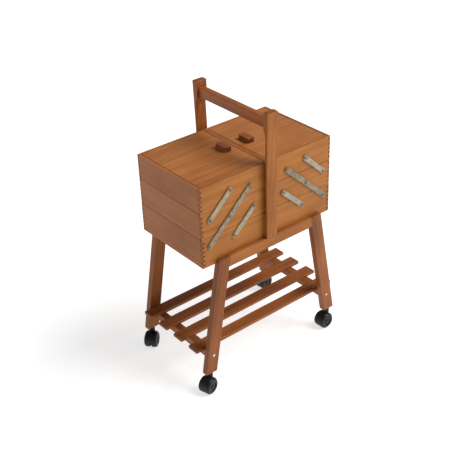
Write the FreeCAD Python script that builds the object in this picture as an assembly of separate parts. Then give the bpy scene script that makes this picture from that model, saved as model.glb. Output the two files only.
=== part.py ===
import FreeCAD, Part
import math
import os

from FreeCAD import Vector

# A wooden cantilever sewing box on a stand with casters, in millimetres.
# X is the way the trays open, Y is the depth, Z is up, and the floor is Z = 0.
# The object is symmetric about X = 0 and Y = 0, apart from how the casters have swivelled.

# How far a cut runs past the face that it leaves by
overrun = 1.0

# Box
box_length = 440.0
box_depth = 260.0
box_bottom_z = 392.0
bottom_box_height = 84.0
bottom_box_wall = 8.0
bottom_box_fingers = 13

# Trays
tier_gap = 1.0
tray_side_gap = 0.5
tray_wall = 6.0
tray_fingers = 11
middle_tray_top_z = box_bottom_z + 157.0
top_tray_top_z = box_bottom_z + 228.0
bottom_floor_panel = 5.0
tray_floor_panel = 4.0
floor_recess = 2.0

# Lids, inset flush between the walls of the top trays
lid_thickness = 6.0
lid_side_gap = 1.0
lid_hinge_gap = 1.8
lid_free_gap = 1.8
lid_pin_inset = 4.0
lid_pin_radius = 1.5
lid_pin_reach = 10.0
lid_rest_width = 6.0
lid_rest_height = 8.0
knob_length = 41.0
knob_width = 22.0
knob_height = 14.0
knob_rounding = 2.0
knob_groove_radius = 5.0
knob_groove_depth = 2.5
knob_groove_drop = 1.0
knob_x = 39.0

# Link arms: each link turns about a lower pivot and carries an upper one
link_x = 67.0
link_z = 62.0
arm_width = 14.0
arm_thickness = 2.0
arm_standoff = 1.2
long_arm_x = -197.0
inner_arm_x = -117.0
lower_pivot_z = box_bottom_z + 59.0
outer_arm_x = -194.0
outer_pivot_z = box_bottom_z + 133.0
pivot_radius = 2.5
pivot_head_radius = 4.5
pivot_head_height = 1.8
pivot_head_rounding = 1.2
slot_width = 1.0
slot_depth = 0.8
blind_skin = 1.0
running_clearance = 0.05
loose_clearance = 0.3

# Stand
frame_thickness = 14.0
leg_width = 36.0
leg_thickness = 18.0
leg_splay = 10.0
leg_foot_x = 220.0
leg_foot_z = 62.0
rail_bottom_z = box_bottom_z - 18.0
rail_top_z = box_bottom_z + 12.0
post_width = 34.0
post_top_z = 760.0
post_rounding = 1.5
post_thin = 7.5
post_shoulder_z = box_bottom_z + bottom_box_height - 6.0
post_shoulder_rise = 8.0
post_bow_z = 520.0
post_bow = 6.0
head_thickness = 18.0
head_bottom_z = 712.0
head_cove_rise = 22.0
bar_width = 20.0
bar_height = 28.0
bar_bottom_z = 714.0
bar_rounding = 3.0
bar_tenon_radius = 6.0
bar_tenon_length = 10.0
foot_tenon_half_width = 10.0
foot_tenon_thickness = 6.0
foot_tenon_length = 14.0

# Shelf
cross_rail_x = 210.0
cross_rail_width = 22.0
cross_rail_top_z = 128.0
slat_length = 498.0
slat_width = 36.0
slat_thickness = 9.0
slat_pitch = 68.0
slat_names = ["rear", "mid_rear", "mid_front", "front"]

# Screws that hold the stand together
screw_radius = 2.0
screw_head_radius = 4.0
screw_head_height = 2.5
screw_reach = 18.0
slat_screw_cover = 3.0
post_screw_cover = 4.0
post_screw_rounding = 1.5
post_screw_rises = [22.0, 46.0, 70.0]

# Casters, with the direction that each one trails in
wheel_radius = 23.5
wheel_width = 14.5
wheel_inner_y = 4.0
wheel_trail = 11.0
wheel_shoulder = 7.0
hood_inner_radius = 24.0
hood_outer_radius = 24.8
hood_half_width = 12.5
hood_skirt_z = 22.0
web_half_width = 3.0
boss_radius = 8.0
boss_top_z = 59.5
stem_radius = 3.5
stem_seat = 12.0
stem_top_z = 96.0
socket_radius = 4.5
socket_top_z = 98.0
socket_flange_radius = 7.0
socket_flange = 1.5
axle_radius = 2.5
axle_cover = 1.0
hub_recess_radius = 12.5
hub_cap_radius = 6.0
hub_recess = 2.0
caster_trail_angles = {
    "front_left": 195.0,
    "front_right": 181.0,
    "rear_left": 219.0,
    "rear_right": 185.0,
}

half_depth = box_depth / 2
frame_face_y = half_depth + frame_thickness
leg_inner_y = frame_face_y - leg_thickness
caster_y = frame_face_y - leg_thickness / 2
head_inner_y = frame_face_y + post_bow - head_thickness
tray_half_depth = half_depth - tray_side_gap
arm_inner_y = half_depth + arm_standoff
arm_outer_y = arm_inner_y + arm_thickness
bottom_box_top_z = box_bottom_z + bottom_box_height
middle_tray_z = bottom_box_top_z + tier_gap
top_tray_z = middle_tray_top_z + tier_gap
tray_outer_x = -box_length / 2
tray_inner_x = -tray_side_gap
pivot_bore = pivot_radius + running_clearance


def box(x, y, z):
    """A block between two limits along each axis."""
    size = [high - low for low, high in (x, y, z)]
    return Part.makeBox(*size, Vector(x[0], y[0], z[0]))


def rod_y(radius, x, z, y):
    """A round rod along Y between two limits."""
    return Part.makeCylinder(radius, y[1] - y[0], Vector(x, y[0], z), Vector(0, 1, 0))


def rod_z(radius, x, y, z):
    """A round rod along Z between two limits."""
    return Part.makeCylinder(radius, z[1] - z[0], Vector(x, y, z[0]))


def front_to_rear(shape):
    return shape.mirror(Vector(0, 0, 0), Vector(0, 1, 0))


def left_to_right(shape):
    return shape.mirror(Vector(0, 0, 0), Vector(1, 0, 0))


def fused(shapes):
    return shapes[0].fuse(shapes[1:]).removeSplitter()


def rounded(shape, radius, chosen):
    """Rounds the edges for which chosen(edge) is true."""
    return shape.makeFillet(radius, [edge for edge in shape.Edges if chosen(edge)])


def runs_along(edge, axis):
    """Whether a straight edge lies along X, Y or Z (0, 1 or 2)."""
    if not isinstance(edge.Curve, Part.Line):
        return False
    return abs(abs(edge.Curve.Direction[axis]) - 1) < 1e-6


def save(name, solids):
    """Writes one node, a single solid or a group of separate ones."""
    shape = solids[0] if len(solids) == 1 else Part.makeCompound(solids)
    shape.exportStep("parts/" + name + ".step")


def fingers(x, y, z, count, first):
    """Every second one of count equal fingers stacked up a corner, from number first on."""
    step = (z[1] - z[0]) / count
    return [box(x, y, (z[0] + i * step, z[0] + (i + 1) * step)) for i in range(first, count, 2)]


def carcass(x, half_y, z, wall, count):
    """Front, rear, left and right walls whose corners interlock with finger joints."""
    front = box(x, (-half_y, -half_y + wall), z)
    left = box((x[0], x[0] + wall), (-half_y, half_y), z)
    right = box((x[1] - wall, x[1]), (-half_y, half_y), z)
    left_end = (x[0], x[0] + wall)
    right_end = (x[1] - wall, x[1])
    front_end = (-half_y, -half_y + wall)
    rear_end = (half_y - wall, half_y)
    front = front.cut(fingers(left_end, front_end, z, count, 1) + fingers(right_end, front_end, z, count, 1))
    left = left.cut(fingers(left_end, front_end, z, count, 0) + fingers(left_end, rear_end, z, count, 0))
    right = right.cut(fingers(right_end, front_end, z, count, 0) + fingers(right_end, rear_end, z, count, 0))
    return front, front_to_rear(front), left, right


def floor_of(x, half_y, bottom_z, wall, thickness):
    """A floor panel fitted between the walls, a little above their lower edge."""
    low = bottom_z + floor_recess
    return box((x[0] + wall, x[1] - wall), (-half_y + wall, half_y - wall), (low, low + thickness))


def upper_pivot(lower):
    return lower[0] + link_x, lower[1] + link_z


def pivot_screw(pivot, face_y, wall):
    """A shoulder screw in the front wall: shank, collar behind the arm and slotted head."""
    head_y = arm_outer_y + loose_clearance
    shank = rod_y(pivot_radius, pivot[0], pivot[1], (-head_y, -face_y + wall - blind_skin))
    collar = rod_y(pivot_head_radius, pivot[0], pivot[1], (-arm_inner_y + loose_clearance, -face_y))
    head = rod_y(pivot_head_radius, pivot[0], pivot[1], (-head_y - pivot_head_height, -head_y))
    top_y = -head_y - pivot_head_height
    head = rounded(head, pivot_head_rounding, lambda edge: edge.BoundBox.YMax < top_y + slot_depth)
    slot = box(
        (pivot[0] - pivot_head_radius, pivot[0] + pivot_head_radius),
        (top_y, top_y + slot_depth),
        (pivot[1] - slot_width / 2, pivot[1] + slot_width / 2),
    )
    return fused([shank, collar, head]).cut(slot)


def pivot_screws(pivots, face_y, wall):
    """The screws of the given pivots, at the front and at the rear."""
    front = [pivot_screw(pivot, face_y, wall) for pivot in pivots]
    return front + [front_to_rear(screw) for screw in front]


def pivot_holes(pivots, face_y, wall):
    """Holes for the screws' shanks in the front wall."""
    y = (-face_y - overrun, -face_y + wall - blind_skin)
    return [rod_y(pivot_radius, px, pz, y) for px, pz in pivots]


def arm(lower, links):
    """A flat steel bar with rounded ends and a hole at each pivot, on the front."""
    length = math.hypot(link_x, link_z) * links
    half = arm_width / 2
    outline = Part.Wire([
        Part.makeLine(Vector(0, 0, -half), Vector(length, 0, -half)),
        Part.Arc(Vector(length, 0, -half), Vector(length + half, 0, 0), Vector(length, 0, half)).toShape(),
        Part.makeLine(Vector(length, 0, half), Vector(0, 0, half)),
        Part.Arc(Vector(0, 0, half), Vector(-half, 0, 0), Vector(0, 0, -half)).toShape(),
    ])
    bar = Part.Face(outline).extrude(Vector(0, arm_thickness, 0))
    y = (-overrun, arm_thickness + overrun)
    bar = bar.cut([rod_y(pivot_bore, i * length / links, 0, y) for i in range(links + 1)])
    bar.rotate(Vector(0, 0, 0), Vector(0, -1, 0), math.degrees(math.atan2(link_z, link_x)))
    bar.translate(Vector(lower[0], -arm_outer_y, lower[1]))
    return bar


def arm_pair(lower, links):
    front = arm(lower, links)
    return [front, front_to_rear(front)]


def make_bottom_box(pivots):
    x = (-box_length / 2, box_length / 2)
    z = (box_bottom_z, bottom_box_top_z)
    front, rear, left, right = carcass(x, half_depth, z, bottom_box_wall, bottom_box_fingers)
    both_sides = pivots + [(-px, pz) for px, pz in pivots]
    wall_y = (-half_depth - overrun, -half_depth + bottom_box_wall + overrun)
    post_holes = [rod_y(screw_radius, 0, height, wall_y) for height in post_screw_heights()]
    front = front.cut(pivot_holes(both_sides, half_depth, bottom_box_wall) + post_holes)
    save("bottom_box_front_wall", [front])
    save("bottom_box_rear_wall", [front_to_rear(front)])
    save("bottom_box_left_wall", [left])
    save("bottom_box_right_wall", [right])
    save("bottom_box_floor", [floor_of(x, half_depth, box_bottom_z, bottom_box_wall, bottom_floor_panel)])
    save("bottom_box_pivots", pivot_screws(both_sides, half_depth, bottom_box_wall))


def make_tray(name, z, pivots, front_cuts=(), extra_metal=()):
    """The left tray of one tier and its mirror image: walls, floor and pivot screws."""
    x = (tray_outer_x, tray_inner_x)
    front, rear, outer, inner = carcass(x, tray_half_depth, z, tray_wall, tray_fingers)
    front = front.cut(pivot_holes(pivots, tray_half_depth, tray_wall) + list(front_cuts))
    pieces = {
        "side_walls": [front, front_to_rear(front)],
        "end_walls": [outer, inner],
        "floor": [floor_of(x, tray_half_depth, z[0], tray_wall, tray_floor_panel)],
        "pivots": pivot_screws(pivots, tray_half_depth, tray_wall) + list(extra_metal),
    }
    for piece, solids in pieces.items():
        save("left_" + name + "_" + piece, solids)
        save("right_" + name + "_" + piece, [left_to_right(solid) for solid in solids])


def lid_pins():
    """The pins that a lid turns on, through the tray's front and rear walls."""
    pin_x = tray_outer_x + tray_wall + lid_hinge_gap + lid_pin_inset
    pin_z = top_tray_top_z - lid_thickness / 2
    inner_y = tray_half_depth - tray_wall - lid_side_gap - lid_pin_reach
    pin = rod_y(lid_pin_radius, pin_x, pin_z, (-tray_half_depth, -inner_y))
    hole = rod_y(lid_pin_radius, pin_x, pin_z, (-tray_half_depth, -tray_half_depth + tray_wall))
    bore = rod_y(lid_pin_radius + running_clearance, pin_x, pin_z, (-tray_half_depth, -inner_y + overrun))
    return pin, hole, bore


def knob():
    """A block handle with a finger groove along each long side, on the left lid."""
    half_x = knob_width / 2
    half_y = knob_length / 2
    block = box((-knob_x - half_x, -knob_x + half_x), (-half_y, half_y),
                (top_tray_top_z, top_tray_top_z + knob_height))
    block = rounded(block, knob_rounding, lambda edge: edge.BoundBox.ZMax > top_tray_top_z + overrun)
    groove_x = half_x + knob_groove_radius - knob_groove_depth
    groove_z = top_tray_top_z + knob_height / 2 - knob_groove_drop
    y = (-half_y - overrun, half_y + overrun)
    grooves = [rod_y(knob_groove_radius, -knob_x + side * groove_x, groove_z, y) for side in (-1, 1)]
    return block.cut(grooves)


def make_lids():
    pin, hole, bore = lid_pins()
    x = (tray_outer_x + tray_wall + lid_hinge_gap, tray_inner_x - tray_wall - lid_free_gap)
    half_y = tray_half_depth - tray_wall - lid_side_gap
    lid = box(x, (-half_y, half_y), (top_tray_top_z - lid_thickness, top_tray_top_z))
    lid = lid.cut([bore, front_to_rear(bore)])
    rest_top = top_tray_top_z - lid_thickness - loose_clearance
    rest_x = tray_inner_x - tray_wall
    rest_half_y = tray_half_depth - tray_wall
    rest = box((rest_x - lid_rest_width, rest_x), (-rest_half_y, rest_half_y),
               (rest_top - lid_rest_height, rest_top))
    for name, solid in (("lid", lid), ("lid_rest", rest), ("lid_knob", knob())):
        save("left_" + name, [solid])
        save("right_" + name, [left_to_right(solid)])


def make_arms(long_lower, inner_lower, outer_lower):
    for name, lower, links in (("long", long_lower, 2), ("inner", inner_lower, 1), ("outer", outer_lower, 1)):
        pair = arm_pair(lower, links)
        save("left_" + name + "_arms", pair)
        save("right_" + name + "_arms", [left_to_right(bar) for bar in pair])


def leg_centre_x(z):
    """How far the middle of a leg stands from X = 0 at height z."""
    return leg_foot_x - (z - leg_foot_z) * math.tan(math.radians(leg_splay))


def leg_half_x():
    return leg_width / 2 / math.cos(math.radians(leg_splay))


def screw_y(x, z, head_y, reach):
    """A countersunk screw along +Y whose head is flush at head_y."""
    head = Part.makeCone(screw_head_radius, screw_radius, screw_head_height,
                         Vector(x, head_y, z), Vector(0, 1, 0))
    return head.fuse(rod_y(screw_radius, x, z, (head_y, head_y + reach))).removeSplitter()


def screw_up(x, y, head_z, reach):
    """A countersunk screw along +Z whose head is flush at head_z."""
    head = Part.makeCone(screw_head_radius, screw_radius, screw_head_height, Vector(x, y, head_z))
    return head.fuse(rod_z(screw_radius, x, y, (head_z, head_z + reach))).removeSplitter()


def post_screw_heights():
    return [box_bottom_z + rise for rise in post_screw_rises]


def post_screw(z):
    """A round-headed screw from inside the bottom box into the front post."""
    wall_y = -half_depth + bottom_box_wall
    shank = rod_y(screw_radius, 0, z, (-frame_face_y + post_screw_cover, wall_y))
    head = rod_y(screw_head_radius, 0, z, (wall_y, wall_y + screw_head_height))
    head_mid_y = wall_y + screw_head_height / 2
    head = rounded(head, post_screw_rounding, lambda edge: edge.BoundBox.YMin > head_mid_y)
    return fused([shank, head])


def slat_centre_y(number):
    """Slats are numbered from the rear to the front."""
    return ((len(slat_names) - 1) / 2 - number) * slat_pitch


def leg(screws):
    """The front left leg, notched under the box and drilled for its screw and caster socket."""
    half = leg_half_x()
    corners = []
    for z, sign in ((leg_foot_z, -1), (leg_foot_z, 1), (rail_top_z, 1), (rail_top_z, -1)):
        corners.append(Vector(-leg_centre_x(z) + sign * half, -frame_face_y, z))
    body = Part.Face(Part.makePolygon(corners + corners[:1])).extrude(Vector(0, leg_thickness, 0))
    notch = box((-leg_foot_x, 0), (-half_depth, 0), (box_bottom_z, rail_top_z + overrun))
    hole = rod_z(socket_radius, -leg_foot_x, -caster_y, (leg_foot_z - overrun, socket_top_z))
    return body.cut([notch, hole] + screws)


def foot_tenon():
    """The tenon under the front post, and so the mortise in the top of the front rail."""
    y = -half_depth - frame_thickness / 2
    half = foot_tenon_thickness / 2
    return box((-foot_tenon_half_width, foot_tenon_half_width), (y - half, y + half),
               (rail_top_z - foot_tenon_length, rail_top_z))


def rail():
    """The front rail, mitred to the slope of the legs, with a mortise for the post."""
    half = leg_half_x()
    corners = []
    for z, sign in ((rail_bottom_z, -1), (rail_bottom_z, 1), (rail_top_z, 1), (rail_top_z, -1)):
        corners.append(Vector(sign * (leg_centre_x(z) - half), -frame_face_y, z))
    blank = Part.Face(Part.makePolygon(corners + corners[:1])).extrude(Vector(0, frame_thickness, 0))
    return blank.cut(foot_tenon())


def drifting_arc(y, z, shift, rise):
    """An arc in the YZ plane that leaves (y, z) straight up and drifts by shift over its rise."""
    radius = (rise ** 2 + shift ** 2) / (2 * abs(shift))
    sag = radius - math.sqrt(radius ** 2 - (rise / 2) ** 2)
    middle = Vector(0, y + math.copysign(sag, shift), z + rise / 2)
    return Part.Arc(Vector(0, y, z), middle, Vector(0, y + shift, z + rise)).toShape()


def post_outline():
    """The front post seen from the side: thick at the bottom box, thin past the trays, with a head."""
    outer = drifting_arc(-frame_face_y, post_bow_z, -post_bow, post_top_z - post_bow_z)
    thin_y = -frame_face_y + post_thin
    cove_z = head_bottom_z - head_cove_rise
    cove_shift = -post_bow * ((cove_z - post_bow_z) / (post_top_z - post_bow_z)) ** 2
    inner = drifting_arc(thin_y, post_bow_z, cove_shift, cove_z - post_bow_z)
    cove = drifting_arc(thin_y + cove_shift, cove_z, -head_inner_y - thin_y - cove_shift, head_cove_rise)
    foot = [Vector(0, thin_y, post_bow_z), Vector(0, thin_y, post_shoulder_z + post_shoulder_rise),
            Vector(0, -half_depth, post_shoulder_z), Vector(0, -half_depth, rail_top_z),
            Vector(0, -frame_face_y, rail_top_z), Vector(0, -frame_face_y, post_bow_z)]
    head = [Vector(0, -frame_face_y - post_bow, post_top_z), Vector(0, -head_inner_y, post_top_z),
            Vector(0, -head_inner_y, head_bottom_z)]
    edges = Part.makePolygon(foot).Edges + [outer] + Part.makePolygon(head).Edges + [cove, inner]
    return Part.Wire(Part.__sortEdges__(edges))


def post(screws):
    """The front post, with its foot in the rail and the handle bar's tenon in its head."""
    body = Part.Face(post_outline()).extrude(Vector(post_width, 0, 0))
    body.translate(Vector(-post_width / 2, 0, 0))
    body = rounded(body, post_rounding, lambda edge: edge.BoundBox.ZMin > post_top_z - overrun)
    bar_z = bar_bottom_z + bar_height / 2
    socket = rod_y(bar_tenon_radius, 0, bar_z, (-head_inner_y - bar_tenon_length, -head_inner_y))
    return body.fuse(foot_tenon()).removeSplitter().cut([socket] + screws)


def handle_bar():
    bar = box((-bar_width / 2, bar_width / 2), (-head_inner_y, head_inner_y),
              (bar_bottom_z, bar_bottom_z + bar_height))
    bar = rounded(bar, bar_rounding, lambda edge: runs_along(edge, 1))
    reach = head_inner_y + bar_tenon_length
    tenons = rod_y(bar_tenon_radius, 0, bar_bottom_z + bar_height / 2, (-reach, reach))
    return bar.fuse(tenons).removeSplitter()


def make_stand():
    cross_mid_z = cross_rail_top_z - cross_rail_width / 2
    leg_screw = screw_y(-cross_rail_x, cross_mid_z, -frame_face_y, leg_thickness + screw_reach)
    post_screws = [post_screw(z) for z in post_screw_heights()]
    front_leg = leg([leg_screw])
    front_post = post(post_screws)
    save("front_left_leg", [front_leg])
    save("front_right_leg", [left_to_right(front_leg)])
    save("rear_left_leg", [front_to_rear(front_leg)])
    save("rear_right_leg", [left_to_right(front_to_rear(front_leg))])
    save("front_rail", [rail()])
    save("rear_rail", [front_to_rear(rail())])
    save("front_post", [front_post])
    save("rear_post", [front_to_rear(front_post)])
    save("handle_bar", [handle_bar()])

    half = cross_rail_width / 2
    rail_low = cross_rail_top_z - cross_rail_width
    slat_screw_reach = cross_rail_width + slat_thickness - slat_screw_cover
    slat_screws = [screw_up(-cross_rail_x, slat_centre_y(number), rail_low, slat_screw_reach)
                   for number in range(len(slat_names))]
    cross_rail = box((-cross_rail_x - half, -cross_rail_x + half), (-leg_inner_y, leg_inner_y),
                     (rail_low, cross_rail_top_z))
    cross_rail = cross_rail.cut([leg_screw, front_to_rear(leg_screw)] + slat_screws)
    save("left_cross_rail", [cross_rail])
    save("right_cross_rail", [left_to_right(cross_rail)])
    all_slat_screws = slat_screws + [left_to_right(screw) for screw in slat_screws]
    for number, name in enumerate(slat_names):
        y = slat_centre_y(number)
        slat = box((-slat_length / 2, slat_length / 2), (y - slat_width / 2, y + slat_width / 2),
                   (cross_rail_top_z, cross_rail_top_z + slat_thickness))
        save("shelf_slat_" + name, [slat.cut(all_slat_screws)])

    front_screws = [leg_screw, left_to_right(leg_screw)] + post_screws
    save("stand_screws", front_screws + [front_to_rear(screw) for screw in front_screws] + all_slat_screws)


def caster_hood():
    """Hood, web and boss in one moulding, with its wheel ahead of the stem along +X."""
    width = (-hood_half_width, hood_half_width)
    shell = rod_y(hood_outer_radius, wheel_trail, wheel_radius, width)
    inside = rod_y(hood_inner_radius, wheel_trail, wheel_radius, width)
    web = rod_y(hood_outer_radius, wheel_trail, wheel_radius, (-web_half_width, web_half_width))
    reach_x = (wheel_trail - hood_outer_radius - overrun, wheel_trail + hood_outer_radius + overrun)
    below = box(reach_x, width, (-hood_outer_radius, hood_skirt_z))
    web_below = box(reach_x, width, (-hood_outer_radius, wheel_radius - boss_radius))
    boss = rod_z(boss_radius, 0, 0, (wheel_radius, boss_top_z)).cut(inside)
    hood = fused([shell.cut([inside, below]), web.cut(web_below), boss])
    stem_hole = rod_z(stem_radius, 0, 0, (boss_top_z - stem_seat, boss_top_z + overrun))
    axle_hole = rod_y(axle_radius, wheel_trail, wheel_radius, (-web_half_width, web_half_width))
    return hood.cut([stem_hole, axle_hole])


def caster_wheel():
    """One of the two domed wheels, with a recessed hub and a blind bore for the axle."""
    outer_y = wheel_inner_y + wheel_width
    wheel = rod_y(wheel_radius, wheel_trail, wheel_radius, (wheel_inner_y, outer_y))
    wheel = rounded(wheel, wheel_shoulder, lambda edge: edge.BoundBox.YMin > outer_y - overrun)
    recess = rod_y(hub_recess_radius, wheel_trail, wheel_radius, (outer_y - hub_recess, outer_y + overrun))
    cap = rod_y(hub_cap_radius, wheel_trail, wheel_radius, (outer_y - hub_recess, outer_y))
    bore_end = outer_y - hub_recess - axle_cover + loose_clearance
    bore = rod_y(axle_radius + running_clearance, wheel_trail, wheel_radius, (0, bore_end))
    return wheel.cut(recess).fuse(cap).removeSplitter().cut(bore)


def placed_caster(solid, x, y, angle):
    placed = solid.copy()
    placed.rotate(Vector(0, 0, 0), Vector(0, 0, 1), angle)
    placed.translate(Vector(x, y, 0))
    return placed


def make_casters():
    outer_y = wheel_inner_y + wheel_width
    stem = rod_z(stem_radius, 0, 0, (boss_top_z - stem_seat, stem_top_z))
    axle_end = outer_y - hub_recess - axle_cover
    axle = rod_y(axle_radius, wheel_trail, wheel_radius, (-axle_end, axle_end))
    swivel = [caster_hood(), stem, axle]
    wheels = [caster_wheel(), front_to_rear(caster_wheel())]
    sockets = []
    for name, angle in caster_trail_angles.items():
        x = leg_foot_x if "right" in name else -leg_foot_x
        y = -caster_y if "front" in name else caster_y
        save(name + "_caster_swivel", [placed_caster(solid, x, y, angle) for solid in swivel])
        save(name + "_caster_wheels", [placed_caster(solid, x, y, angle) for solid in wheels])
        sleeve = rod_z(socket_radius, x, y, (leg_foot_z, socket_top_z))
        flange = rod_z(socket_flange_radius, x, y, (leg_foot_z - socket_flange, leg_foot_z))
        bore = rod_z(stem_radius + running_clearance, x, y, (0, socket_top_z - blind_skin))
        sockets.append(sleeve.fuse(flange).removeSplitter().cut(bore))
    save("caster_sockets", sockets)


def main():
    os.makedirs("parts", exist_ok=True)
    long_lower = (long_arm_x, lower_pivot_z)
    inner_lower = (inner_arm_x, lower_pivot_z)
    outer_lower = (outer_arm_x, outer_pivot_z)
    long_middle = upper_pivot(long_lower)
    pin, pin_hole, _ = lid_pins()
    make_stand()
    make_bottom_box([long_lower, inner_lower])
    make_tray("middle_tray", (middle_tray_z, middle_tray_top_z),
              [long_middle, upper_pivot(inner_lower), outer_lower])
    make_tray("top_tray", (top_tray_z, top_tray_top_z),
              [upper_pivot(long_middle), upper_pivot(outer_lower)],
              front_cuts=[pin_hole], extra_metal=[pin, front_to_rear(pin)])
    make_lids()
    make_arms(long_lower, inner_lower, outer_lower)
    make_casters()


main()
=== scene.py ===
import math

import bmesh
import bpy
from mathutils import Matrix, Vector

# The sewing box's looks, in metres: a material for every piece, a pale studio and the camera.

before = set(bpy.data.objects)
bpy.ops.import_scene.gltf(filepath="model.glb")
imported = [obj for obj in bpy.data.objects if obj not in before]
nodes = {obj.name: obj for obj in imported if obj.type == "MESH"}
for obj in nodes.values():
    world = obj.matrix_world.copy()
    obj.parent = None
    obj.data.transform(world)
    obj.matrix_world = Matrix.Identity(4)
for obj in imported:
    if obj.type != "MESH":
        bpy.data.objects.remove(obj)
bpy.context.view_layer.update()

MM = 0.001

# ---------------------------------------------------------------- shader nodes


class Tree:
    """A short way to write shader nodes: every call adds a node or two and returns an output."""

    def __init__(self, name):
        self.material = bpy.data.materials.new(name)
        self.material.use_nodes = True
        self.nodes = self.material.node_tree.nodes
        self.links = self.material.node_tree.links
        self.shader = self.nodes["Principled BSDF"]

    def put(self, socket, value):
        if isinstance(value, bpy.types.NodeSocket):
            self.links.new(value, socket)
        else:
            socket.default_value = value

    def add(self, kind, *inputs, out=0, **settings):
        node = self.nodes.new("ShaderNode" + kind)
        for key, value in settings.items():
            setattr(node, key, value)
        for key, value in enumerate(inputs):
            if value is not None:
                self.put(node.inputs[key], value)
        return node.outputs[out]

    def place(self, kind):
        """The Object or Normal output of the texture coordinates."""
        return self.nodes.new("ShaderNodeTexCoord").outputs[kind]

    def split(self, vector):
        node = self.nodes.new("ShaderNodeSeparateXYZ")
        self.put(node.inputs[0], vector)
        return node.outputs

    def math(self, operation, a, b=None, clamp=False):
        return self.add("Math", a, b, operation=operation, use_clamp=clamp)

    def times(self, value, factor):
        return self.math("MULTIPLY", value, factor)

    def swing(self, noise, amount):
        """A noise brought to vary about zero, by up to half the amount each way."""
        return self.times(self.math("SUBTRACT", noise, 0.5), amount)

    def vector(self, operation, a, b=None, out=0):
        return self.add("VectorMath", a, b, operation=operation, out=out)

    def noise(self, vector, scale, detail, rough):
        node = self.nodes.new("ShaderNodeTexNoise")
        self.put(node.inputs["Vector"], vector)
        node.inputs["Scale"].default_value = scale
        node.inputs["Detail"].default_value = detail
        node.inputs["Roughness"].default_value = rough
        return node.outputs["Fac"]

    def streaks(self, vector, scales, detail, rough):
        """A noise with a scale of its own along each axis."""
        return self.noise(self.vector("MULTIPLY", vector, scales), 1.0, detail, rough)

    def remap(self, value, low, high, to_low=0.0, to_high=1.0):
        node = self.nodes.new("ShaderNodeMapRange")
        for key, v in enumerate((value, low, high, to_low, to_high)):
            self.put(node.inputs[key], v)
        return node.outputs[0]

    def mix(self, factor, a, b, blend="MIX"):
        node = self.nodes.new("ShaderNodeMix")
        node.data_type = "RGBA"
        node.blend_type = blend
        self.put(node.inputs[0], factor)
        self.put(node.inputs[6], a)
        self.put(node.inputs[7], b)
        return node.outputs[2]

    def tinted(self, colour, red, green, blue):
        return self.mix(1.0, colour, (red, green, blue, 1.0), "MULTIPLY")

    def bump(self, height, strength, distance):
        node = self.nodes.new("ShaderNodeBump")
        node.inputs["Strength"].default_value = strength
        node.inputs["Distance"].default_value = distance
        self.put(node.inputs["Height"], height)
        return node.outputs["Normal"]

    def finish(self, colour, roughness, normal, **uniform):
        self.put(self.shader.inputs["Base Color"], colour)
        self.put(self.shader.inputs["Roughness"], roughness)
        self.put(self.shader.inputs["Normal"], normal)
        for key, value in uniform.items():
            self.shader.inputs[key.replace("_", " ")].default_value = value
        return self.material


def rgb(red, green, blue):
    """A colour written as display values from 0 to 255, for a shader socket."""
    values = [c / 255 for c in (red, green, blue)]
    return [c / 12.92 if c < 0.04045 else ((c + 0.055) / 1.055) ** 2.4 for c in values] + [1.0]


def deeper(colour):
    """The colour of flecks and stains in a surface of the given colour."""
    return [c * 0.55 for c in colour[:3]] + [1.0]


# ---------------------------------------------------------------- wood

# Tones of the stained wood, pale and dark
BOX_TONES = rgb(177, 112, 48), rgb(125, 72, 28)
# The end walls take a darker copy of the box's tones, painted shade of the left end, which faces away
# from the key light; their tops keep the lid's tones
SHADED_END_TONES = rgb(160, 93, 31), rgb(115, 60, 18)
LID_TONES = rgb(190, 120, 62), rgb(138, 80, 38)
POST_TONES = rgb(168, 102, 40), rgb(107, 59, 22)
RED_TONES = rgb(168, 96, 43), rgb(107, 54, 25)
LEG_TONES = rgb(154, 90, 42), rgb(94, 50, 21)
OLD_LEG_TONES = rgb(145, 82, 34), rgb(88, 45, 17)
PLY_TONES = rgb(206, 158, 100), rgb(160, 108, 60)

# How far end grain, which soaks up more stain, keeps the brightness of the rest
BOX_END_GRAIN = 0.5
STAND_END_GRAIN = 0.86

# Noise scales along the grain and twice across it, per metre
WARP_SCALES = (2.2, 16, 16)
STREAK_SCALES = (2.4, 75, 75)
FIBRE_SCALES = (28, 900, 900)
FLECK_SCALES = (150, 1500, 1500)
CLOUD_SCALE = 7.0
WEAR_SCALE = 60.0

# Growth rings, whose radius hardly changes along the board
RING_WIDTH = 5.2 * MM
RING_DRIFT = 24 * MM
RING_TAPER = (0.035, 1, 1)
RING_SHARPNESS = 2.2
RING_END = 0.97
RING_END_LEVEL = 0.25

# How far each layer of the grain takes the tone from pale to dark
BASE_TONE = 0.32
RING_TONE = 0.30
STREAK_TONE = 1.3
FIBRE_TONE = 0.5
CLOUD_TONE = 0.9
FLECK_TONE = 0.35

# How squarely a face looks along an axis, from not counted to counted
SQUARE_ON = (0.80, 0.95)
ROUNDED_OFF = (0.985, 0.80)

WOOD_ROUGHNESS = 0.36
LEG_SPLAY = math.radians(10)


def board_origin(seed):
    """Where a board lies in its tree: how far up the trunk, and how far to two sides of the pith."""
    return (seed * 1.37 % 5.0, 0.055 + 0.021 * (seed % 4), 0.035 + 0.017 * (seed % 5))


def growth_rings(t, grain):
    """Rings round a pith that lies off to one side of the board and drifts along it."""
    drift = t.swing(t.streaks(grain, WARP_SCALES, 3, 0.55), RING_DRIFT)
    distance = t.vector("LENGTH", t.vector("MULTIPLY", grain, RING_TAPER), out=1)
    ring = t.math("FRACT", t.times(t.math("ADD", distance, drift), 1 / RING_WIDTH))
    ring = t.math("POWER", ring, RING_SHARPNESS)
    return t.times(ring, t.remap(ring, RING_END, 1.0, 1.0, RING_END_LEVEL))


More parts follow.
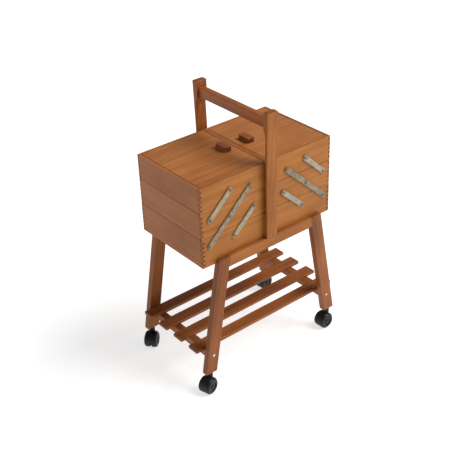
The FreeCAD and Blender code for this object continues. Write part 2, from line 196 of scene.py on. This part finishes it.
def wood(name, tones, along, seed, tilt, soak, rim):
    """Stained, satin-lacquered hardwood whose grain runs along an axis, tilted in the XZ plane.

    Level faces have the tones of rim instead, when it is given.
    """
    t = Tree(name)
    turn = {"X": (0, 0, 0), "Y": (0, 0, -math.pi / 2), "Z": (0, math.pi / 2 - tilt, 0)}[along]
    grain = t.add("Mapping", t.place("Object"), board_origin(seed), turn, vector_type="POINT")
    facing = t.add("Mapping", t.place("Normal"), None, turn, vector_type="POINT")
    facing_x, facing_y, facing_z = t.split(t.vector("ABSOLUTE", facing))
    widest = t.math("MAXIMUM", facing_x, t.math("MAXIMUM", facing_y, facing_z))
    end_grain = t.remap(facing_x, *SQUARE_ON)
    edge = t.remap(widest, *ROUNDED_OFF)

    ring = growth_rings(t, grain)
    streak = t.streaks(grain, STREAK_SCALES, 4, 0.6)
    fibre = t.streaks(grain, FIBRE_SCALES, 3, 0.65)
    cloud = t.noise(grain, CLOUD_SCALE, 2, 0.5)
    fleck = t.remap(t.streaks(grain, FLECK_SCALES, 1, 0.4), 0.62, 0.70)

    tone = t.times(ring, RING_TONE)
    for layer, amount in ((streak, STREAK_TONE), (fibre, FIBRE_TONE), (cloud, CLOUD_TONE)):
        tone = t.math("ADD", tone, t.swing(layer, amount))
    tone = t.math("ADD", tone, BASE_TONE, clamp=True)
    colour = t.mix(tone, *tones)
    # Level faces in the rim tones: painted shade on the rails' tops, the lid's tones on the end walls'
    # tops
    if rim:
        colour = t.mix(t.remap(facing_z, *SQUARE_ON), colour, t.mix(tone, *rim))
    colour = t.mix(t.times(fleck, FLECK_TONE), colour, deeper(tones[1]))
    soaked = t.tinted(colour, soak, soak * 0.90, soak * 0.85)
    colour = t.mix(end_grain, colour, soaked)
    rubbed = t.tinted(colour, 1.16, 1.18, 1.20)
    worn = t.times(edge, t.remap(t.noise(grain, WEAR_SCALE, 3, 0.6), 0.35, 0.6))
    colour = t.mix(worn, colour, rubbed)

    rough = t.math("ADD", WOOD_ROUGHNESS, t.swing(cloud, 0.16))
    rough = t.math("ADD", rough, t.times(fibre, 0.10))
    rough = t.math("ADD", rough, t.times(end_grain, 0.2), clamp=True)
    height = t.math("ADD", fibre, t.times(ring, 0.4))
    height = t.math("SUBTRACT", height, t.times(fleck, 0.8))
    normal = t.bump(height, 0.35, 0.12 * MM)
    return t.finish(colour, rough, normal, Coat_Weight=0.04, Coat_Roughness=0.25, Specular_IOR_Level=0.2)


def wooden_pieces():
    """The axis that the grain of each wooden piece runs along, and its tones."""
    grain = {"bottom_box_floor": ("X", PLY_TONES), "front_post": ("Z", POST_TONES),
             "rear_post": ("Z", RED_TONES), "handle_bar": ("Y", RED_TONES)}
    for end in ("front", "rear"):
        grain[f"bottom_box_{end}_wall"] = ("X", BOX_TONES)
        grain[f"{end}_rail"] = ("X", POST_TONES)
    for side in ("left", "right"):
        # end walls in the darker copy of the box's tones: painted shade
        grain[f"bottom_box_{side}_wall"] = ("Y", SHADED_END_TONES)
        grain[f"{side}_lid"] = ("X", LID_TONES)
        grain[f"{side}_lid_knob"] = ("Y", RED_TONES)
        grain[f"{side}_lid_rest"] = ("Y", BOX_TONES)
        grain[f"{side}_cross_rail"] = ("Y", LEG_TONES)
        for tier in ("middle", "top"):
            grain[f"{side}_{tier}_tray_side_walls"] = ("X", BOX_TONES)
            # tray end walls in the darker copy of the box's tones: painted shade
            grain[f"{side}_{tier}_tray_end_walls"] = ("Y", SHADED_END_TONES)
            grain[f"{side}_{tier}_tray_floor"] = ("Y", PLY_TONES)
        grain[f"front_{side}_leg"] = ("Z", OLD_LEG_TONES if side == "left" else LEG_TONES)
        grain[f"rear_{side}_leg"] = ("Z", LEG_TONES)
    for row in ("rear", "mid_rear", "mid_front", "front"):
        grain["shelf_slat_" + row] = ("X", LEG_TONES)
    return grain


# ---------------------------------------------------------------- metal and plastic

SHEEN_SCALE = 95.0
ROLLING_SCALES = (260, 260, 1900)
STAIN_SCALE = 210.0
SKIN_SCALE = 1500.0
DUST_SCALE = 60.0
DUST = rgb(96, 92, 84)


def steel(name, base, shade, roughness):
    """Zinc-plated steel: cloudy passivation, rolling marks and small stains."""
    t = Tree(name)
    place = t.place("Object")
    cloud = t.noise(place, SHEEN_SCALE, 4, 0.6)
    scratch = t.streaks(place, ROLLING_SCALES, 2, 0.6)
    stain = t.remap(t.noise(place, STAIN_SCALE, 3, 0.6), 0.60, 0.72)
    colour = t.mix(t.remap(cloud, 0.3, 0.7), base, shade)
    colour = t.mix(t.times(stain, 0.30), colour, deeper(shade))
    rough = t.math("ADD", roughness, t.swing(cloud, 0.25))
    rough = t.math("ADD", rough, t.times(scratch, 0.08), clamp=True)
    normal = t.bump(scratch, 0.25, 0.04 * MM)
    return t.finish(colour, rough, normal, Metallic=0.75)


def nylon(name, base, roughness, dust):
    """Black moulded nylon with a spark-eroded skin and a little dust on it."""
    t = Tree(name)
    place = t.place("Object")
    skin = t.noise(place, SKIN_SCALE, 2, 0.6)
    cloud = t.noise(place, DUST_SCALE, 4, 0.65)
    powder = t.times(t.remap(cloud, 0.48, 0.75), dust)
    colour = t.mix(powder, base, DUST)
    rough = t.math("ADD", roughness, t.swing(cloud, 0.25))
    rough = t.math("ADD", rough, t.times(powder, 0.4), clamp=True)
    normal = t.bump(skin, 0.22, 0.06 * MM)
    return t.finish(colour, rough, normal, Specular_IOR_Level=0.34)


# ---------------------------------------------------------------- pieces

# Radii of the softened edges
FINE_EDGE = 0.35 * MM
STAND_EDGE = 0.9 * MM
ARM_EDGE = 0.3 * MM
HOOD_EDGE = 0.5 * MM

SAME_POINT = 0.02 * MM
FLAT_ANGLE = math.radians(0.5)
SHARP_ANGLE = math.radians(40)


def give(obj, material):
    obj.data.materials.clear()
    obj.data.materials.append(material)


def soften(obj, width):
    """Joins the flat faces' triangles and rounds the sharp edges, as modifiers."""
    weld = obj.modifiers.new("weld", "WELD")
    weld.merge_threshold = SAME_POINT
    flat = obj.modifiers.new("flat", "DECIMATE")
    flat.decimate_type = "DISSOLVE"
    flat.angle_limit = FLAT_ANGLE
    bevel = obj.modifiers.new("bevel", "BEVEL")
    bevel.width = width
    bevel.segments = 2
    bevel.limit_method = "ANGLE"
    bevel.angle_limit = SHARP_ANGLE
    bevel.use_clamp_overlap = False
    bevel.harden_normals = False
    normals = obj.modifiers.new("normals", "WEIGHTED_NORMAL")
    normals.keep_sharp = False
    for polygon in obj.data.polygons:
        polygon.use_smooth = True


def rim_of(name):
    """Tones for the level faces that differ from the sides: the rails' tops take the darker leg tones as
    painted shade of the gap under the box, and the end walls' tops keep the lid's tones above their
    painted-shade sides.
    """
    if name.endswith(("end_walls", "left_wall", "right_wall")):
        return LID_TONES
    # the rails' tops: darker leg tones, painted shade of the gap between rail and box
    if name in ("front_rail", "rear_rail"):
        return LEG_TONES
    return None


def tilt_of(name):
    if not name.endswith("_leg"):
        return 0.0
    return LEG_SPLAY if "left" in name else -LEG_SPLAY


def dress_wood():
    for seed, (name, (along, tones)) in enumerate(sorted(wooden_pieces().items())):
        fine = "wall" in name or "lid" in name
        soak = BOX_END_GRAIN if fine else STAND_END_GRAIN
        give(nodes[name], wood("wood_" + name, tones, along, seed, tilt_of(name), soak, rim_of(name)))
        soften(nodes[name], FINE_EDGE if fine else STAND_EDGE)


def dress_metal_and_plastic():
    zinc_bar = steel("zinc_bar", rgb(174, 164, 144), rgb(140, 130, 111), 0.42)
    zinc_worn = steel("zinc_worn", rgb(160, 149, 127), rgb(116, 107, 89), 0.46)
    zinc_screw = steel("zinc_screw", rgb(142, 133, 116), rgb(106, 97, 82), 0.38)
    bright_screw = steel("bright_screw", rgb(214, 208, 192), rgb(178, 170, 152), 0.30)
    black_hood = nylon("black_hood", rgb(13, 13, 12), 0.48, 0.05)
    black_wheel = nylon("black_wheel", rgb(11, 11, 10), 0.44, 0.08)
    for name, obj in nodes.items():
        if name.endswith("_arms"):
            give(obj, zinc_worn if "long" in name else zinc_bar)
            soften(obj, ARM_EDGE)
        elif name.endswith("_pivots"):
            give(obj, zinc_screw)
        elif name in ("stand_screws", "caster_sockets"):
            give(obj, bright_screw)
        elif name.endswith("_swivel"):
            give(obj, black_hood)
            soften(obj, HOOD_EDGE)
        elif name.endswith("_wheels"):
            give(obj, black_wheel)


# ---------------------------------------------------------------- studio

FLOOR_RADIUS = 40.0
FLOOR_TONE = 0.55
FLOOR_ROUGHNESS = 0.9
FLOOR_GLOW = 0.68

KEY_STRENGTH = 3.1
KEY_SPREAD = math.radians(36)
KEY_DIRECTION = (-2.2, 1.9, -3.4)

# The dome's brightness, and its bright band, which fades out between two heights over the horizon
DOME = 0.20
HORIZON = 1.0
HORIZON_FADE = (0.10, 0.30)

CAMERA_AZIMUTH = math.radians(-38.88)
CAMERA_ELEVATION = math.radians(31.86)
CAMERA_ROLL = math.radians(-1.78)
CAMERA_PLACE = (-1.3611, -1.6765, 1.6846)
CAMERA_LENS = 70.35
CAMERA_SENSOR = 36.0
CAMERA_REACH = 100.0


def make_floor():
    """A pale floor, lit a little from within like a light table, so that shadows stay faint."""
    mesh = bpy.data.meshes.new("floor")
    b = bmesh.new()
    bmesh.ops.create_circle(b, cap_ends=True, radius=FLOOR_RADIUS, segments=96)
    b.to_mesh(mesh)
    b.free()
    floor = bpy.data.objects.new("floor", mesh)
    bpy.context.scene.collection.objects.link(floor)
    t = Tree("pale_floor")
    t.shader.inputs["Base Color"].default_value = (FLOOR_TONE, FLOOR_TONE, FLOOR_TONE, 1.0)
    t.shader.inputs["Roughness"].default_value = FLOOR_ROUGHNESS
    t.shader.inputs["Emission Color"].default_value = (1.0, 1.0, 1.0, 1.0)
    t.shader.inputs["Emission Strength"].default_value = FLOOR_GLOW
    give(floor, t.material)


def make_key_light():
    """One wide, distant softbox, to the right of the front and well above the object."""
    data = bpy.data.lights.new("key", "SUN")
    data.energy = KEY_STRENGTH
    data.angle = KEY_SPREAD
    light = bpy.data.objects.new("key", data)
    light.rotation_euler = Vector(KEY_DIRECTION).to_track_quat("-Z", "Y").to_euler()
    bpy.context.scene.collection.objects.link(light)


def make_world():
    """A dim white dome with a bright band at the horizon, so that the backdrop is pale from any side."""
    world = bpy.data.worlds.new("studio")
    world.use_nodes = True
    tree = world.node_tree
    coords = tree.nodes.new("ShaderNodeTexCoord")
    split = tree.nodes.new("ShaderNodeSeparateXYZ")
    level = tree.nodes.new("ShaderNodeMapRange")
    for key, value in enumerate((*HORIZON_FADE, HORIZON, DOME), start=1):
        level.inputs[key].default_value = value
    tree.links.new(coords.outputs["Generated"], split.inputs[0])
    tree.links.new(split.outputs[2], level.inputs[0])
    tree.links.new(level.outputs[0], tree.nodes["Background"].inputs["Strength"])
    tree.nodes["Background"].inputs["Color"].default_value = (1.0, 1.0, 1.0, 1.0)
    bpy.context.scene.world = world


def make_camera():
    """A camera outside the front left corner, a little rolled, looking down on the box."""
    back = Vector((
        math.sin(CAMERA_AZIMUTH) * math.cos(CAMERA_ELEVATION),
        -math.cos(CAMERA_AZIMUTH) * math.cos(CAMERA_ELEVATION),
        math.sin(CAMERA_ELEVATION),
    ))
    right = Vector((0, 0, 1)).cross(back).normalized()
    up = back.cross(right)
    camera_x = math.cos(CAMERA_ROLL) * right + math.sin(CAMERA_ROLL) * up
    camera_y = -math.sin(CAMERA_ROLL) * right + math.cos(CAMERA_ROLL) * up
    data = bpy.data.cameras.new("camera")
    data.sensor_width = CAMERA_SENSOR
    data.lens = CAMERA_LENS
    data.clip_end = CAMERA_REACH
    camera = bpy.data.objects.new("camera", data)
    turn = Matrix((camera_x, camera_y, back)).transposed()
    camera.matrix_world = Matrix.Translation(CAMERA_PLACE) @ turn.to_4x4()
    bpy.context.scene.collection.objects.link(camera)
    bpy.context.scene.camera = camera


dress_wood()
dress_metal_and_plastic()
bpy.context.scene.view_settings.view_transform = "Standard"
make_floor()
make_world()
make_key_light()
make_camera()
